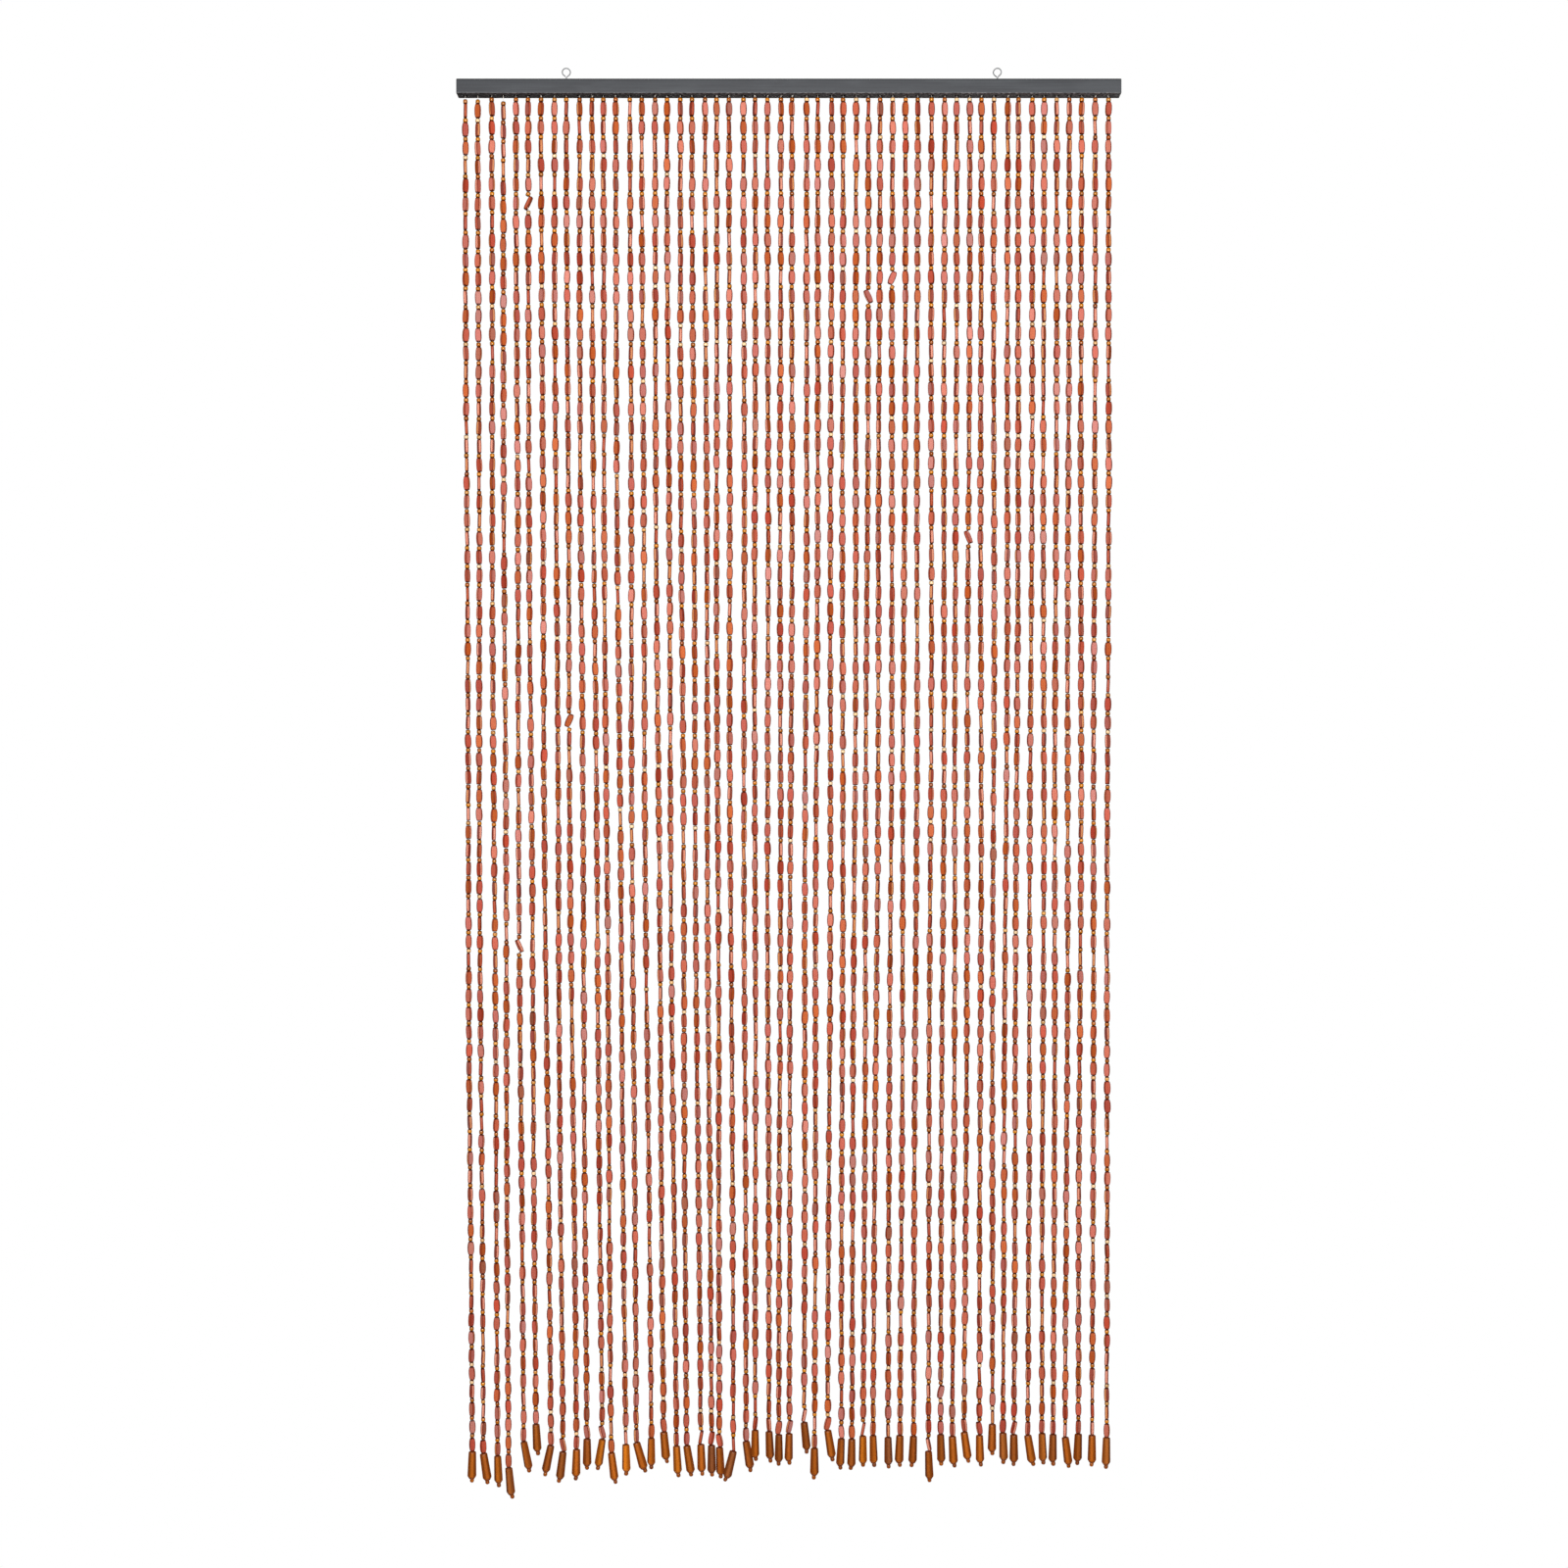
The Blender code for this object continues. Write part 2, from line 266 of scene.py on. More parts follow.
def makeSpacerWood():
    # small glossy amber beads, with painted shade at the ends where they meet their neighbours
    fixed = {"Specular IOR Level": 0.3, "Coat Roughness": 0.2, "Coat Weight": 0.45}
    material, tree, shader = newMaterial("spacerBeadWood", fixed)
    place = attribute(tree, "beadPlace", "Vector")
    along = abs(addNode(tree, "ShaderNodeSeparateXYZ", None, {0: place}, "Z"))
    tone = attribute(tree, "tone")
    shade = attribute(tree, "shade")
    stops = [(spot, colour(*stain)) for spot, stain in spacerFinish["stains"]]
    stain = addNode(tree, "ShaderNodeValToRGB", {"stops": stops}, {"Fac": tone})
    offset = addNode(tree, "ShaderNodeCombineXYZ", None, {0: tone * 23.0, 1: shade * 11.0})
    grain = noise(tree, scaled(tree, place, (2.2, 2.2, 0.7), offset), 2.2, 3.0, 0.55)
    bright = 0.7 + 0.44 * shade + 0.24 * (grain - 0.5)
    light = addNode(tree, "ShaderNodeCombineColor", None, {0: bright, 1: bright, 2: bright})
    face = blend(tree, 1.0, stain, light, "MULTIPLY")
    # the ends darken as painted shade where the beads meet
    finished = blend(tree, step(along, 0.5, 0.72) * 0.97, face, solid(*spacerFinish["ends"]))
    rough = 0.24 + 0.14 * grain
    feed(shader, baseColour=finished, roughness=rough, normal=bump(tree, grain, 0.15, 0.0002))
    return material


endFinish = {
    "stains": (
        (0.0, (146, 76, 24)),
        (0.3, (168, 86, 20)),
        (0.55, (182, 96, 22)),
        (0.75, (138, 78, 42)),
        (0.9, (206, 114, 24)),
        (1.0, (156, 78, 18)),
    ),
    # colour of the darker ends and of the painted side shade
    "rim": (92, 36, 12),
}


def makeEndWood(name, knot):
    # long beads of lacquered golden wood with darker ends and painted shade on the left and right side
    # facets, or the small bead below
    fixed = {"Specular IOR Level": 0.15, "Coat Roughness": 0.2, "Coat Weight": 0.08}
    material, tree, shader = newMaterial(name, fixed)
    place = attribute(tree, "beadPlace", "Vector")
    along = addNode(tree, "ShaderNodeSeparateXYZ", None, {0: place}, "Z")
    # painted shade on the left and right side facets, which the small turn of the long beads keeps
    # facing sideways
    paintedSideShade = 0.75 * step(abs(along.other("X")), 0.3, 0.75)
    tone = attribute(tree, "tone")
    shade = attribute(tree, "shade")
    stops = [(spot, colour(*stain)) for spot, stain in endFinish["stains"]]
    stain = addNode(tree, "ShaderNodeValToRGB", {"stops": stops}, {"Fac": tone})
    offset = addNode(tree, "ShaderNodeCombineXYZ", None, {0: tone * 19.0, 1: shade * 13.0})
    grain = noise(tree, scaled(tree, place, (2.4, 2.4, 1.4), offset), 2.0, 5.0, 0.6)
    mottle = noise(tree, scaled(tree, place, (1.2, 1.2, 3.0), offset), 1.8, 2.0, 0.5)
    bright = 0.72 + 0.3 * shade + 0.4 * (grain - 0.5) + 0.3 * (mottle - 0.5)
    light = addNode(tree, "ShaderNodeCombineColor", None, {0: bright, 1: bright, 2: bright})
    face = blend(tree, 1.0, stain, light, "MULTIPLY")
    low, high = (-0.6, 0.5) if knot else (0.86, 0.97)
    # darker ends, plus the painted side shade
    darkEndsAndSideShade = step(along, low, high).maths("MAXIMUM", 1 - step(along, 0.005, 0.05)).maths("MAXIMUM", paintedSideShade)
    finished = blend(tree, darkEndsAndSideShade * (0.5 if knot else 0.75), face, solid(*endFinish["rim"]))
    rough = 0.26 + 0.2 * grain
    feed(shader, baseColour=finished, roughness=rough, normal=bump(tree, grain, 0.2, 0.0004))
    return material


def makeCordFibre():
    # thin white twisted cord
    material, tree, shader = newMaterial("cordFibre", {"Specular IOR Level": 0.3})
    place = addNode(tree, "ShaderNodeTexCoord", output="Object")
    strand = noise(tree, scaled(tree, place, (900.0, 900.0, 2200.0)), 1.0, 2.0, 0.5)
    shade = blend(tree, strand, solid(214, 204, 190), solid(244, 240, 232))
    feed(shader, baseColour=shade, roughness=0.7 + 0.2 * strand, normal=bump(tree, strand, 0.4, 0.0002))
    return material


railFinish = {
    "paint": (71, 73, 76),
    "streak": (64, 65, 68),
    "cloud": (77, 79, 82),
    "worn": (100, 101, 103),
    "edge": (30, 32, 35),
    "under": (30, 29, 30),
    "bareUnder": (146, 143, 144),
}


def makeRailPaint(lowZ, highZ, halfDepth):
    # dark satin paint over straight-grained wood, near-black and mottled with light grey underneath, the
    # light grey share growing towards the right end as painted bounce light
    material, tree, shader = newMaterial("railPaint", {"Specular IOR Level": 0.12})
    place = addNode(tree, "ShaderNodeTexCoord", output="Object")
    height = addNode(tree, "ShaderNodeSeparateXYZ", None, {0: place}, "Z")
    streaks = noise(tree, scaled(tree, place, (9.0, 700.0, 420.0)), 1.0, 4.0, 0.6)
    speckle = noise(tree, scaled(tree, place, (260.0, 900.0, 900.0)), 1.0, 3.0, 0.65)
    clouds = noise(tree, scaled(tree, place, (14.0, 40.0, 60.0)), 1.0, 2.0, 0.5)
    facing = attribute(tree, "underside")
    shades = {name: solid(*shade) for name, shade in railFinish.items()}
    paint = blend(tree, step(streaks, 0.35, 0.7) * 0.8, shades["streak"], shades["paint"])
    paint = blend(tree, step(clouds, 0.45, 0.75) * 0.7, paint, shades["cloud"])
    paint = blend(tree, step(speckle, 0.66, 0.78) * 0.3, paint, shades["worn"])
    # painted bounce light: the light grey share of the underside grows towards the right end
    rightwardBounceLight = 0.45 + 0.5 * step(height.other("X"), -0.42, 0.4)
    under = blend(tree, step(speckle, 0.42, 0.66) * rightwardBounceLight, shades["under"], shades["bareUnder"])
    edge = step(height, lowZ + 0.6 * mm, lowZ + 2.2 * mm)
    rim = step(abs(height.other("Y")), halfDepth - 1.9 * mm, halfDepth - 1.1 * mm)
    topEdge = step(height, highZ - 2.8 * mm, highZ - 0.8 * mm) * rim
    paint = blend(tree, (1 - edge) * 0.7, paint, shades["worn"])
    paint = blend(tree, topEdge * 0.8, paint, shades["edge"])
    finished = blend(tree, facing, paint, under)
    rough = 0.48 + 0.2 * speckle
    raised = bump(tree, streaks * 0.7 + speckle * 0.3, 0.35, 0.0004)
    feed(shader, baseColour=finished, roughness=rough, normal=raised)
    return material


def makeZincWire():
    # drawn wire, lightly marked
    material, tree, shader = newMaterial("zincWire", {"Metallic": 0.55, "Specular IOR Level": 0.3})
    place = addNode(tree, "ShaderNodeTexCoord", output="Object")
    marks = noise(tree, scaled(tree, place, (700.0, 700.0, 700.0)), 1.0, 3.0, 0.6)
    shade = blend(tree, marks, solid(112, 113, 114), solid(150, 151, 152))
    feed(shader, baseColour=shade, roughness=0.42 + 0.2 * marks, normal=bump(tree, marks, 0.15, 0.0001))
    return material


# The strands' routes

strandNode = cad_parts["strands"]
railLow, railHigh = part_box("rail")
rootZ = railLow[2]

strandSizes = {"corners": 4, "below": 1.5 * mm, "points": 36}


def islands(bm):
    # the vertices of each separate piece of the mesh
    left = set(bm.verts)
    found = []
    while left:
        first = left.pop()
        group = [first]
        waiting = [first]
        while waiting:
            for edge in waiting.pop().link_edges:
                for vertex in edge.verts:
                    if vertex in left:
                        left.remove(vertex)
                        group.append(vertex)
                        waiting.append(vertex)
        found.append(group)
    return found


def readStrandLines():
    # each strand's centreline from the root down, from the middles of its rings of corners
    bm = bmesh.new()
    bm.from_mesh(strandNode.data)
    bmesh.ops.remove_doubles(bm, verts=bm.verts, dist=0.02 * mm)
    above = [vertex for vertex in bm.verts if vertex.co.z > rootZ - strandSizes["below"]]
    bmesh.ops.delete(bm, geom=above, context="VERTS")
    lines = []
    for group in islands(bm):
        corners = sorted((vertex.co.copy() for vertex in group), key=lambda point: -point.z)
        size = strandSizes["corners"]
        rings = [corners[i:i + size] for i in range(0, len(corners), size)]
        middles = [sum(ring, Vector()) / size for ring in rings]
        root = Vector((middles[0].x, middles[0].y, rootZ))
        lines.append([root, *middles])
    bm.free()
    return sorted(lines, key=lambda line: line[0].x)


def smoothLine(line, count):
    # the same route with evenly spaced points on a smooth curve through the given ones
    spots = np.array([tuple(point) for point in line])
    length = np.concatenate([[0], np.cumsum(np.linalg.norm(np.diff(spots, axis=0), axis=1))])
    slopes = np.gradient(spots, length, axis=0)
    wanted = np.linspace(0, length[-1], count)
    piece = np.clip(np.searchsorted(length, wanted, side="right") - 1, 0, len(line) - 2)
    span = (length[piece + 1] - length[piece])[:, None]
    t = ((wanted - length[piece])[:, None]) / span
    start, end = spots[piece], spots[piece + 1]
    startSlope, endSlope = slopes[piece] * span, slopes[piece + 1] * span
    curve = (
        (2 * t**3 - 3 * t**2 + 1) * start
        + (t**3 - 2 * t**2 + t) * startSlope
        + (-2 * t**3 + 3 * t**2) * end
        + (t**3 - t**2) * endSlope
    )
    return [Vector(point) for point in curve]


def readEndBeads():
    # each end bead's top point and the direction that it hangs in
    spots = []
    for name in sorted(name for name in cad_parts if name.startswith("end_bead")):
        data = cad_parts[name].data
        points = np.zeros(len(data.vertices) * 3)
        data.vertices.foreach_get("co", points)
        points = np.unique(points.reshape(-1, 3).round(6), axis=0)
        middle = points.mean(axis=0)
        direction = np.linalg.svd(points - middle)[2][0]
        if direction[2] > 0:
            direction = -direction
        reach = (points - middle) @ direction
        spots.append((Vector(middle + direction * reach.min()), Vector(direction)))
    return spots


strandLines = [smoothLine(line, strandSizes["points"]) for line in readStrandLines()]
endSpots = readEndBeads()
print("read", len(strandLines), "strands and", len(endSpots), "end beads")


# The rail

railSizes = {
    "edge": 1.1 * mm,
    "cordHole": 3.4 * mm,
    "holeDepth": 9 * mm,
    "holeSides": 14,
    "slack": 0.5 * mm,
    "bevelSegments": 4,
    "sharpAngle": math.radians(40),
}


def finishPiece(obj, slot, *nodes):
    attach(obj, body)
    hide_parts(*nodes)
    return obj


def linkObject(name, data):
    obj = bpy.data.objects.new(name, data)
    bpy.context.scene.collection.objects.link(obj)
    return obj


def meshFrom(bm, name):
    bmesh.ops.recalc_face_normals(bm, faces=bm.faces)
    mesh = bpy.data.meshes.new(name)
    bm.to_mesh(mesh)
    bm.free()
    return mesh


def plainMesh(obj):
    # the object's mesh as its modifiers leave it, with the modifiers gone
    view = bpy.context.evaluated_depsgraph_get()
    mesh = bpy.data.meshes.new_from_object(obj.evaluated_get(view), depsgraph=view)
    obj.modifiers.clear()
    if obj.type == "MESH":
        obj.data = mesh
        return obj
    name = obj.name
    bpy.data.objects.remove(obj)
    return linkObject(name, mesh)


def buildRail():
    low, high = Vector(railLow), Vector(railHigh)
    bm = bmesh.new()
    bmesh.ops.create_cube(bm, size=1.0)
    bmesh.ops.scale(bm, vec=high - low, verts=bm.verts)
    bmesh.ops.translate(bm, vec=(low + high) / 2, verts=bm.verts)
    rail = linkObject("paintedRail", meshFrom(bm, "paintedRail"))
    holes = bmesh.new()
    for line in strandLines:
        place = Matrix.Translation(line[0])
        bmesh.ops.create_cone(
            holes,
            cap_ends=True,
            segments=railSizes["holeSides"],
            radius1=railSizes["cordHole"],
            radius2=railSizes["cordHole"],
            depth=2 * railSizes["holeDepth"],
            matrix=place,
        )
    cutter = linkObject("cordHoles", meshFrom(holes, "cordHoles"))
    bevel = rail.modifiers.new("easedEdges", "BEVEL")
    bevel.width = railSizes["edge"]
    bevel.segments = railSizes["bevelSegments"]
    cut = rail.modifiers.new("holes", "BOOLEAN")
    cut.object = cutter
    rail = plainMesh(rail)
    bpy.data.objects.remove(cutter)
    under = rail.data.attributes.new("underside", "FLOAT", "FACE")
    under.data.foreach_set("value", [float(isUnder(face)) for face in rail.data.polygons])
    rail.data.materials.append(makeRailPaint(rootZ, railHigh[2], railHigh[1]))
    rail.data.shade_smooth()
    rail.data.set_sharp_from_angle(angle=railSizes["sharpAngle"])
    return finishPiece(rail, "rail_paint", "rail")


def isUnder(face):
    # whether a face of the rail is on its underside or in one of the holes
    if face.normal.z < -0.5:
        return True
    if face.center.z > rootZ + railSizes["holeDepth"] + railSizes["slack"]:
        return False
    reach = railSizes["cordHole"] + railSizes["slack"]
    return any((face.center.xy - line[0].xy).length < reach for line in strandLines)


buildRail()
print("rail built")


# Screw eyes

eyeSizes = {
    "wire": 0.8 * mm,
    "ring": 5.4 * mm,
    "ringHeight": 11.9 * mm,
    "neck": 4.3 * mm,
    "shank": 10 * mm,
    "foot": 2 * mm,
    "open": 26,
    "turns": 30,
    "end": (-0.95 * mm, 5.5 * mm),
    "roundness": 3,
    "leftLean": 6,
    "rightLean": -14,
}


def eyeRoute(lean):
    # up from the rail, round the ring and back beside the neck
    sizes = eyeSizes
    points = [(0, -sizes["shank"]), (0, -sizes["foot"]), (0, 0), (0, sizes["neck"])]
    start = math.radians(-90 + sizes["open"])
    sweep = math.radians(360 - 2 * sizes["open"])
    for turn in range(sizes["turns"] + 1):
        angle = start + sweep * turn / sizes["turns"]
        height = sizes["ringHeight"] + sizes["ring"] * math.sin(angle)
        points.append((sizes["ring"] * math.cos(angle), height))
    points.append(sizes["end"])
    turned = Matrix.Rotation(math.radians(lean), 3, "Z")
    return [turned @ Vector((x, 0, z)) for x, z in points]


def buildEye(name, node, lean, finish):
    low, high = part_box(node)
    middle = (low[0] + high[0]) / 2
    curve = bpy.data.curves.new(name, "CURVE")
    curve.dimensions = "3D"
    curve.bevel_depth = eyeSizes["wire"]
    curve.bevel_resolution = eyeSizes["roundness"]
    curve.use_fill_caps = True
    points = eyeRoute(lean)
    spline = curve.splines.new("POLY")
    spline.points.add(len(points) - 1)
    for spot, point in zip(spline.points, points):
        spot.co = (point.x + middle, point.y, point.z + railHigh[2], 1.0)
    eye = plainMesh(linkObject(name, curve))
    eye.data.materials.clear()
    eye.data.materials.append(finish)
    eye.data.shade_smooth()
    return finishPiece(eye, "zinc_wire", node)


zincWire = makeZincWire()
buildEye("screwEyeLeft", "eye_left", eyeSizes["leftLean"], zincWire)
buildEye("screwEyeRight", "eye_right", eyeSizes["rightLean"], zincWire)
print("screw eyes bent")


# Threading beads

def addGroupInput(tree, name, kind):
    return tree.interface.new_socket(name=name, in_out="INPUT", socket_type=kind).identifier


def randomNumber(tree, low, high, seed):
    values = {2: low, 3: high, "Seed": seed}
    return addNode(tree, "FunctionNodeRandomValue", {"data_type": "FLOAT"}, values, output=1)


def makeThreadingTree():
    # puts one bead on every pitch of every cord, each turned, tilted and shaded by chance;
    # a high Facing keeps most beads near their unturned side, and Tightening is the share by
    # which beads and spacing grow at the top and shrink at the bottom
    tree = bpy.data.node_groups.new("threadBeads", "GeometryNodeTree")
    kinds = {
        "Cords": "NodeSocketGeometry",
        "Bead": "NodeSocketObject",
        "Pitch": "NodeSocketFloat",
        "Along": "NodeSocketFloat",
        "Slack": "NodeSocketFloat",
        "Sideways": "NodeSocketFloat",
        "Turn": "NodeSocketFloat",
        "Facing": "NodeSocketFloat",
        "Tightening": "NodeSocketFloat",
        "Tilt": "NodeSocketFloat",
        "Uneven": "NodeSocketFloat",
        "Loose Spots": "NodeSocketObject",
        "Loose Reach": "NodeSocketFloat",
        "Seed": "NodeSocketInt",
        "Wood": "NodeSocketMaterial",
    }
    names = {name: addGroupInput(tree, name, kind) for name, kind in kinds.items()}
    tree.interface.new_socket(name="Beads", in_out="OUTPUT", socket_type="NodeSocketGeometry")
    entry = addNode(tree, "NodeGroupInput")
    given = entry.other
    add = partial(addNode, tree)
    seed = given("Seed")

    def spread(reach, lot):
        # a chance number within the reach on either side of nothing
        return randomNumber(tree, reach * -1.0, reach, seed + lot)

    ends = add("GeometryNodeCurveEndpointSelection", None, {"Start Size": 0, "End Size": 1})
    stretched = add(
        "GeometryNodeResampleCurve",
        {"mode": "LENGTH"},
        {"Curve": given("Cords"), "Length": given("Pitch")},
    )
    marked = add(
        "GeometryNodeStoreNamedAttribute",
        {"data_type": "BOOLEAN", "domain": "POINT"},
        {"Geometry": stretched, "Name": "lastSpot", "Value": ends},
    )
    stored = {"data_type": "FLOAT", "domain": "POINT"}
    shares = add("GeometryNodeSplineParameter")
    spans = add("GeometryNodeSplineLength")
    for name, wire in (("share", shares), ("span", spans)):
        values = {"Geometry": marked, "Name": name, "Value": wire}
        marked = add("GeometryNodeStoreNamedAttribute", stored, values)
    spots = add("GeometryNodeCurveToPoints", {"mode": "EVALUATED"}, {"Curve": marked})
    downwards = spots.other("Tangent")
    last = add("GeometryNodeInputNamedAttribute", {"data_type": "BOOLEAN"}, {"Name": "lastSpot"})
    aimed = add(
        "GeometryNodeStoreNamedAttribute",
        {"data_type": "FLOAT_VECTOR", "domain": "POINT"},
        {"Geometry": spots, "Name": "aim", "Value": downwards},
    )
    kept = add("GeometryNodeDeleteGeometry", {"domain": "POINT"}, {"Geometry": aimed, "Selection": last})
    aim = add("GeometryNodeInputNamedAttribute", {"data_type": "FLOAT_VECTOR"}, {"Name": "aim"})

    share = add("GeometryNodeInputNamedAttribute", {"data_type": "FLOAT"}, {"Name": "share"})
    span = add("GeometryNodeInputNamedAttribute", {"data_type": "FLOAT"}, {"Name": "span"})
    tightening = given("Tightening")
    lowered = tightening * span * (share - share * share)
    travel = given("Along") + lowered + spread(given("Slack"), 0)
    shift = add("ShaderNodeVectorMath", {"operation": "SCALE"}, {0: aim, "Scale": travel})
    sideways = given("Sideways")
    drift = add("ShaderNodeCombineXYZ", None, {0: spread(sideways, 1), 1: spread(sideways, 2)})
    moved = add("ShaderNodeVectorMath", {"operation": "ADD"}, {0: shift, 1: drift})
    placed = add("GeometryNodeSetPosition", None, {"Geometry": kept, "Offset": moved})

    own = {"transform_space": "ORIGINAL"}
    spotsInfo = add("GeometryNodeObjectInfo", own, {"Object": given("Loose Spots")}, "Geometry")
    near = add("GeometryNodeProximity", {"target_element": "POINTS"}, {0: spotsInfo}, "Distance")
    loose = near.maths("LESS_THAN", given("Loose Reach"))
    nearest = add("GeometryNodeSampleNearest", {"domain": "POINT"}, {"Geometry": spotsInfo})
    leans = add("GeometryNodeInputNamedAttribute", {"data_type": "FLOAT"}, {"Name": "lean"})
    lean = add(
        "GeometryNodeSampleIndex",
        {"data_type": "FLOAT", "domain": "POINT"},
        {"Geometry": spotsInfo, "Value": leans, "Index": nearest},
    )
    extra = loose * lean
    tilt = given("Tilt")
    leaning = add("ShaderNodeCombineXYZ", None, {0: spread(tilt, 3), 1: spread(tilt, 4) + extra})
    chance = randomNumber(tree, -1.0, 1.0, seed + 5)
    turnAngle = given("Turn") * chance * abs(chance).maths("POWER", given("Facing"))
    turn = add("ShaderNodeCombineXYZ", None, {2: turnAngle})
    downward = (0.0, math.pi, 0.0)
    hung = add("FunctionNodeAlignRotationToVector", {"axis": "Z"}, {"Rotation": downward, "Vector": aim})
    local = {"rotation_space": "LOCAL"}
    turned = hung
    for angles in (leaning, turn):
        rotation = add("FunctionNodeEulerToRotation", None, {0: angles})
        turned = add("FunctionNodeRotateRotation", local, {0: turned, 1: rotation})

    toned = placed
    for name, lot in (("tone", 6), ("shade", 7)):
        toned = add(
            "GeometryNodeStoreNamedAttribute",
            {"data_type": "FLOAT", "domain": "POINT"},
            {"Geometry": toned, "Name": name, 3: randomNumber(tree, 0.0, 1.0, seed + lot)},
        )
    uneven = given("Uneven")
    size = 1.0 + tightening * (1 - 2 * share)
    widths = add(
        "ShaderNodeCombineXYZ",
        None,
        {
            0: size + spread(uneven, 8),
            1: size + 0.5 * spread(uneven, 10),
            2: size + 0.4 * spread(uneven, 11),
        },
    )
    bead = add("GeometryNodeObjectInfo", own, {"Object": given("Bead")}, "Geometry")
    strung = add(
        "GeometryNodeInstanceOnPoints",
        None,
        {"Points": toned, "Instance": bead, "Rotation": turned, "Scale": widths},
    )
    real = add("GeometryNodeRealizeInstances", None, {"Geometry": strung})
    coloured = add("GeometryNodeSetMaterial", None, {"Geometry": real, "Material": given("Wood")})
    addNode(tree, "NodeGroupOutput", None, {0: coloured})
    return tree, names


threadingTree, threadingNames = makeThreadingTree()


def cordCurve(name, lines):
    # an open curve with one straight-sectioned spline for each line of points
    curve = bpy.data.curves.new(name, "CURVE")
    curve.dimensions = "3D"
    for line in lines:
        spline = curve.splines.new("POLY")
        spline.points.add(len(line) - 1)
        for spot, point in zip(spline.points, line):
            spot.co = (*point, 1.0)
    return linkObject(name, curve)


def threadBeads(name, lines, bead, finish, seed, values, spots):
    cords = cordCurve(name, lines)
    modifier = cords.modifiers.new("threadBeads", "NODES")
    modifier.node_group = threadingTree
    settings = {"Bead": bead, "Loose Spots": spots, "Seed": seed, "Wood": finish, **values}
    for key, value in settings.items():
        modifier[threadingNames[key]] = value
    threaded = plainMesh(cords)
    for spare in ("aim", "lastSpot", "share", "span"):
        if spare in threaded.data.attributes:
            threaded.data.attributes.remove(threaded.data.attributes[spare])
    threaded.data.shade_smooth()
    threaded.data.set_sharp_from_angle(angle=threading["sharpAngle"])
    return threaded


def turnedBead(name, rings, outline, reach):
    # a closed bead along +Z: rings of (z, width, thickness); beadPlace is a point's place in its
    # ring's outline and its share of the reach along the bead
    bm = bmesh.new()
    place = bm.verts.layers.float_vector.new("beadPlace")
    made = []
    for z, width, thickness in rings:
        ring = []
        for x, y in outline:
            vertex = bm.verts.new((x * width, y * thickness, z))
            vertex[place] = (x, y, z / reach)
            ring.append(vertex)
        made.append(ring)
    for upper, lower in zip(made, made[1:]):
        for k in range(len(outline)):
            after = (k + 1) % len(outline)
            bm.faces.new([upper[k], upper[after], lower[after], lower[k]])
    bm.faces.new(made[0])
    bm.faces.new(made[-1])
    bead = linkObject(name, meshFrom(bm, name))
    bead.hide_render = True
    return bead


def roundOutline(sides):
    angles = [math.tau * k / sides for k in range(sides)]
    return [(math.cos(angle), math.sin(angle)) for angle in angles]


def mirroredRings(half, width, thickness, steps):
    # rings from end to end: steps of (share of the half length, width share, thickness share)
    rows = [(-z, w, t) for z, w, t in steps] + [(z, w, t) for z, w, t in reversed(steps) if z]
    return [(z * half, w * width, t * thickness) for z, w, t in rows]


ovalBead = {
    "length": 18.4 * mm,
    "width": 8.75 * mm,
    "thickness": 4.45 * mm,
    "steps": ((1.0, 0.55, 0.8), (0.9, 0.74, 0.97), (0.5, 0.95, 1.0), (0.0, 1.0, 1.0)),
    "section": (
        (1, 0.6), (0.84, 1), (-0.84, 1), (-1, 0.6), (-1, -0.6), (-0.84, -1), (0.84, -1), (1, -0.6),
    ),
    "groups": 4,
    "seed": 40,
    "hang": {
        "Slack": 0.12 * mm,
        "Sideways": 0.3 * mm,
        "Turn": math.pi / 2,
        "Facing": 0.16,
        "Tilt": math.radians(2.6),
        "Uneven": 0.06,
    },
}
spacerBead = {
    "length": 6.1 * mm,
    "across": 6.4 * mm,
    "steps": ((1.0, 0.6, 0.6), (0.72, 0.9, 0.9), (0.0, 1.0, 1.0)),
    "sides": 8,
    "groups": 2,
    "seed": 400,
    "hang": {
        "Slack": 0.1 * mm,
        "Sideways": 0.2 * mm,
        "Turn": math.pi,
        "Facing": 0.0,
        "Tilt": math.radians(5),
        "Uneven": 0.06,
    },
}
threading = {
    "rootGap": 2.5 * mm,
    "endGap": 0.2 * mm,
    "lowRoots": ((0, 5.0 * mm), (1, 5.4 * mm), (3, 7.8 * mm)),
    "spacerGap": 0.05 * mm,
    "seedStep": 20,
    "sharpAngle": math.radians(48),
    "hang": {"Pitch": 24.72 * mm, "Tightening": 0.026, "Loose Reach": 11 * mm},
}
# for a line that carries only one bead
single = {"Pitch": 1.0, "Tightening": 0.0, "Facing": 0.0, "Loose Reach": 0.0}
looseSpots = {
    "places": (
        # x and y in the picture, then the bead's lean in degrees
        (538.5, 204, 26),
        (885.1, 307, -24),
        (912, 291, 22),
        (987.8, 552, -24),
        (581, 739, 24),
        (530, 972, -22),
        (959.7, 1413, 14),
    ),
    "endShare": 0.4,
    "aboveEnd": 10 * mm,
    "leastLean": 5,
    "mostLean": 13,
    "seed": 5,
}


# Camera

viewSizes = {
    "distance": 3.3,
    "frameWidth": 2.12852,
    "middleX": -6.5 * mm,
    "middleZ": -0.9542,
    "pixels": 1600,
    "sensor": 36.0,
    "farthest": 50.0,
}


def photoPlace(x, y):
    # the point in the curtain's plane that a pixel of the picture shows
    size = viewSizes["frameWidth"] / viewSizes["pixels"]
    middle = viewSizes["pixels"] / 2
    return (viewSizes["middleX"] + (x - middle) * size, 0.0, viewSizes["middleZ"] - (y - middle) * size)


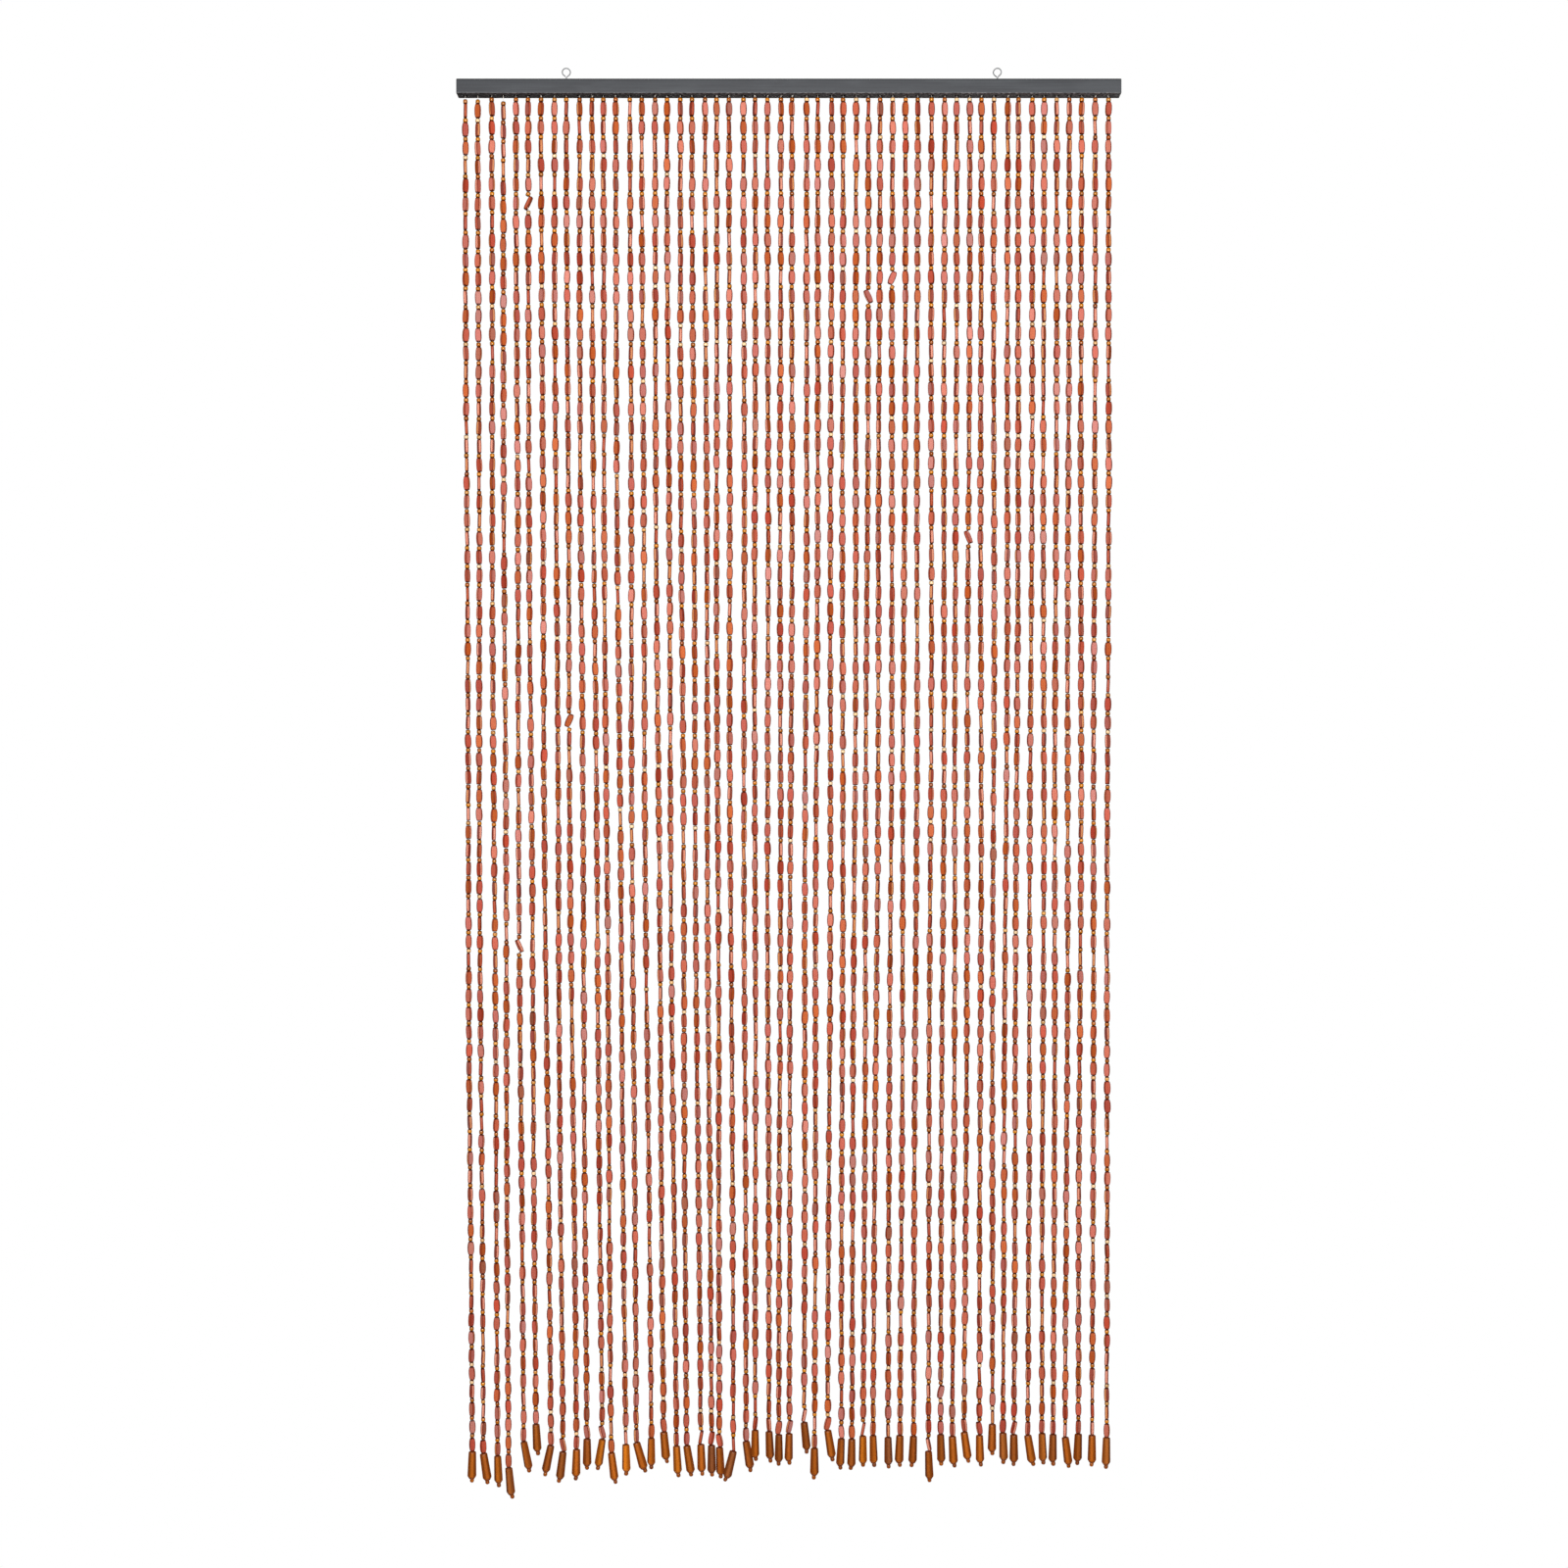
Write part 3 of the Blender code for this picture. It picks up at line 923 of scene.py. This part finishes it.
def makeLooseSpots():
    # a guide that marks where beads have slipped askew on their cords
    sizes = looseSpots
    chance = random.Random(sizes["seed"])
    marks = [(photoPlace(x, y), lean) for x, y, lean in sizes["places"]]
    for line in strandLines:
        end = line[-1] + Vector((0, 0, sizes["aboveEnd"]))
        lean = chance.choice((-1, 1)) * chance.uniform(sizes["leastLean"], sizes["mostLean"])
        if chance.random() < sizes["endShare"]:
            marks.append((tuple(end), lean))
    mesh = bpy.data.meshes.new("looseSpots")
    mesh.from_pydata([place for place, lean in marks], [], [])
    leans = mesh.attributes.new("lean", "FLOAT", "POINT")
    leans.data.foreach_set("value", [math.radians(lean) for place, lean in marks])
    spots = linkObject("looseSpots", mesh)
    spots.hide_render = True
    return spots


def beadedPart(number, line):
    # the length of a strand that carries beads, from just under the rail to its end bead
    gap = dict(threading["lowRoots"]).get(number, threading["rootGap"])
    points = [point.copy() for point in line]
    points[0] += (points[1] - points[0]).normalized() * gap
    points[-1] += (points[-2] - points[-1]).normalized() * threading["endGap"]
    return points


def shareOut(lines, groups):
    size = math.ceil(len(lines) / groups)
    return [lines[i:i + size] for i in range(0, len(lines), size)]


def threadGroups(name, bead, wood, slot, along, sizes, lines, spots):
    # one kind of bead on all the strands, as a few pieces of about equal size
    values = {**threading["hang"], **sizes["hang"], "Along": along}
    for group, part in enumerate(shareOut(lines, sizes["groups"])):
        seed = sizes["seed"] + threading["seedStep"] * group
        beads = threadBeads(f"{name}{group + 1}", part, bead, wood, seed, values, spots)
        finishPiece(beads, slot, "strands")
        print(beads.name, len(beads.data.polygons), "faces")


def buildStrungBeads():
    spots = makeLooseSpots()
    lines = [beadedPart(number, line) for number, line in enumerate(strandLines)]
    sizes = ovalBead
    half = sizes["length"] / 2
    rings = mirroredRings(half, sizes["width"] / 2, sizes["thickness"] / 2, sizes["steps"])
    oval = turnedBead("ovalBead", rings, sizes["section"], half)
    along = spacerBead["length"] + 2 * threading["spacerGap"] + half
    threadGroups("ovalBeads", oval, makeOvalWood(), "bead_wood", along, sizes, lines, spots)
    sizes = spacerBead
    half = sizes["length"] / 2
    rings = mirroredRings(half, sizes["across"] / 2, sizes["across"] / 2, sizes["steps"])
    spacer = turnedBead("spacerBead", rings, roundOutline(sizes["sides"]), half)
    along = half + threading["spacerGap"]
    threadGroups("spacerBeads", spacer, makeSpacerWood(), "spacer_wood", along, sizes, lines, spots)
    bpy.data.objects.remove(oval)
    bpy.data.objects.remove(spacer)
    return spots


rootKnot = {
    "length": 2.6 * mm,
    "across": 2.4 * mm,
    "steps": ((1.0, 0.4, 0.3), (0.6, 0.9, 0.8), (0.0, 1.0, 0.9)),
    "sides": 7,
    "share": 0.25,
    "seed": 11,
    "beadSeed": 640,
    "hang": {
        "Along": 0.0,
        "Slack": 0.5 * mm,
        "Sideways": 0.9 * mm,
        "Turn": math.pi,
        "Tilt": math.radians(50),
        "Uneven": 0.3,
    },
}


def buildRootKnots(spots):
    # glued knots of white cord that show in some of the rail's holes
    sizes = rootKnot
    half = sizes["length"] / 2
    rings = mirroredRings(half, sizes["across"] / 2, sizes["across"] / 2, sizes["steps"])
    knot = turnedBead("knot", rings, roundOutline(sizes["sides"]), half)
    chance = random.Random(sizes["seed"])
    roots = [line[0] for line in strandLines if chance.random() < sizes["share"]]
    lines = [[root, root - Vector((0, 0, 2 * sizes["length"]))] for root in roots]
    values = {**single, **sizes["hang"]}
    knots = threadBeads("rootKnots", lines, knot, makeCordFibre(), sizes["beadSeed"], values, spots)
    bpy.data.objects.remove(knot)
    return finishPiece(knots, "cord_fibre", "strands")


looseMarks = buildStrungBeads()
buildRootKnots(looseMarks)


# Cords

cordSizes = {"radius": 0.36 * mm, "roundness": 1, "inHole": 6 * mm, "belowTop": 39.5 * mm}


def buildCords():
    # the white cords, from inside the rail's holes down through every bead
    lines = []
    for line, (top, direction) in zip(strandLines, endSpots):
        start = line[0] + Vector((0, 0, cordSizes["inHole"]))
        lines.append([start, *line, top + direction * cordSizes["belowTop"]])
    cords = cordCurve("cordThreads", lines)
    cords.data.bevel_depth = cordSizes["radius"]
    cords.data.bevel_resolution = cordSizes["roundness"]
    cords.data.use_fill_caps = True
    cords = plainMesh(cords)
    cords.data.materials.clear()
    cords.data.materials.append(makeCordFibre())
    cords.data.shade_smooth()
    return finishPiece(cords, "cord_fibre", "strands")


buildCords()
print("cords strung")


# End beads

endBead = {
    "length": 37.6 * mm,
    "section": ((0.32, 0.98), (-0.32, 0.98), (-1.0, 0.0), (-0.32, -0.98), (0.32, -0.98), (1.0, 0.0)),
    "profile": (
        (0.0, 3.9), (0.35, 4.5), (1.2, 4.85), (2.6, 5.0), (12.0, 5.3), (23.0, 5.6), (32.2, 5.85),
        (33.2, 5.8), (34.0, 5.5), (36.1, 4.1), (37.0, 3.5), (37.6, 2.8),
    ),
    "seed": 700,
    "hang": {
        "Along": 0.0,
        "Slack": 0.0,
        "Sideways": 0.0,
        "Turn": math.radians(14),
        "Tilt": 0.0,
        "Uneven": 0.03,
    },
}
stopKnot = {
    "length": 5.7 * mm,
    "sides": 12,
    "profile": (
        (0.0, 2.1), (0.4, 2.5), (1.5, 2.8), (3.0, 2.85), (4.2, 2.6), (5.0, 2.1), (5.5, 1.3), (5.7, 0.5),
    ),
    "belowTop": 36.9 * mm,
    "lineEnd": 44 * mm,
    "seed": 740,
    "hang": {
        "Along": 0.1 * mm,
        "Slack": 0.15 * mm,
        "Sideways": 0.9 * mm,
        "Turn": math.pi,
        "Tilt": math.radians(14),
        "Uneven": 0.08,
    },
}


def turnedFromProfile(name, sizes):
    rings = [(z * mm, radius * mm, radius * mm) for z, radius in sizes["profile"]]
    outline = sizes.get("section") or roundOutline(sizes["sides"])
    return turnedBead(name, rings, outline, sizes["length"])


def hangBeads(name, model, finish, sizes, belowTop, spots):
    # one bead on each strand's end, in the direction that the CAD's end bead hangs in
    values = {**single, **sizes["hang"]}
    lines = [
        [top + direction * belowTop, top + direction * stopKnot["lineEnd"]]
        for top, direction in endSpots
    ]
    beads = threadBeads(name, lines, model, finish, sizes["seed"], values, spots)
    nodes = [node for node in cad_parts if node.startswith("end_bead")]
    finishPiece(beads, "end_wood", *nodes)
    bpy.data.objects.remove(model)


def buildEndBeads(spots):
    long = turnedFromProfile("longBead", endBead)
    hangBeads("endBeads", long, makeEndWood("endBeadWood", False), endBead, 0.0, spots)
    knot = turnedFromProfile("smallBead", stopKnot)
    wood = makeEndWood("stopBeadWood", True)
    hangBeads("stopBeads", knot, wood, stopKnot, stopKnot["belowTop"], spots)
    bpy.data.objects.remove(spots)


buildEndBeads(looseMarks)
print("end beads hung")


# Studio

studio = {
    "backdrop": 16.0,
    "ambient": 0.07,
    "softboxes": {
        "keySoftbox": {
            "place": (0.0, -4.2, 0.1),
            "target": (0.0, 0.0, -0.8),
            "size": (1.5, 2.4),
            "power": 270.0,
            "glossy": True,
        },
        "backSoftbox": {
            "place": (0.0, 4.2, 0.1),
            "target": (0.0, 0.0, -0.8),
            "size": (2.2, 2.6),
            "power": 200.0,
            "glossy": False,
        },
        "floorBounce": {
            "place": (0.0, -0.3, -6.0),
            "target": (0.0, 0.0, 0.0),
            "size": (3.0, 3.0),
            "power": 150.0,
            "glossy": False,
        },
    },
}


def buildBackdrop():
    # a white dome that the camera sees and that neither lights nor shades the curtain
    bm = bmesh.new()
    bmesh.ops.create_icosphere(bm, subdivisions=3, radius=studio["backdrop"])
    dome = linkObject("paleDome", meshFrom(bm, "paleDome"))
    material = bpy.data.materials.new("paleDome")
    material.use_nodes = True
    tree = material.node_tree
    tree.nodes.remove(tree.nodes["Principled BSDF"])
    paper = addNode(tree, "ShaderNodeEmission", None, {"Color": (1.0, 1.0, 1.0, 1.0), "Strength": 1.0})
    tree.links.new(paper.output, tree.nodes["Material Output"].inputs["Surface"])
    dome.data.materials.append(material)
    dome.visible_diffuse = False
    dome.visible_glossy = False
    dome.visible_shadow = False


def buildWorld():
    world = bpy.data.worlds.new("studio")
    world.use_nodes = True
    bpy.context.scene.world = world
    level = studio["ambient"]
    world.node_tree.nodes["Background"].inputs["Color"].default_value = (level, level, level, 1.0)


def addSoftbox(name, sizes):
    light = bpy.data.lights.new(name, "AREA")
    light.shape = "RECTANGLE"
    light.size, light.size_y = sizes["size"]
    light.energy = sizes["power"]
    lamp = linkObject(name, light)
    lamp.location = sizes["place"]
    facing = Vector(sizes["target"]) - Vector(sizes["place"])
    lamp.rotation_euler = facing.to_track_quat("-Z", "Y").to_euler()
    lamp.visible_camera = False
    lamp.visible_glossy = sizes["glossy"]


def buildCamera():
    sizes = viewSizes
    data = bpy.data.cameras.new("photoView")
    data.sensor_width = sizes["sensor"]
    data.lens = sizes["sensor"] * sizes["distance"] / sizes["frameWidth"]
    data.clip_end = sizes["farthest"]
    camera = linkObject("photoView", data)
    camera.location = (sizes["middleX"], -sizes["distance"], sizes["middleZ"])
    camera.rotation_euler = (math.radians(90), 0, 0)
    bpy.context.scene.camera = camera


buildBackdrop()
buildWorld()
for name, sizes in studio["softboxes"].items():
    addSoftbox(name, sizes)
buildCamera()
bpy.context.scene.view_settings.view_transform = "Standard"
print("studio lit")
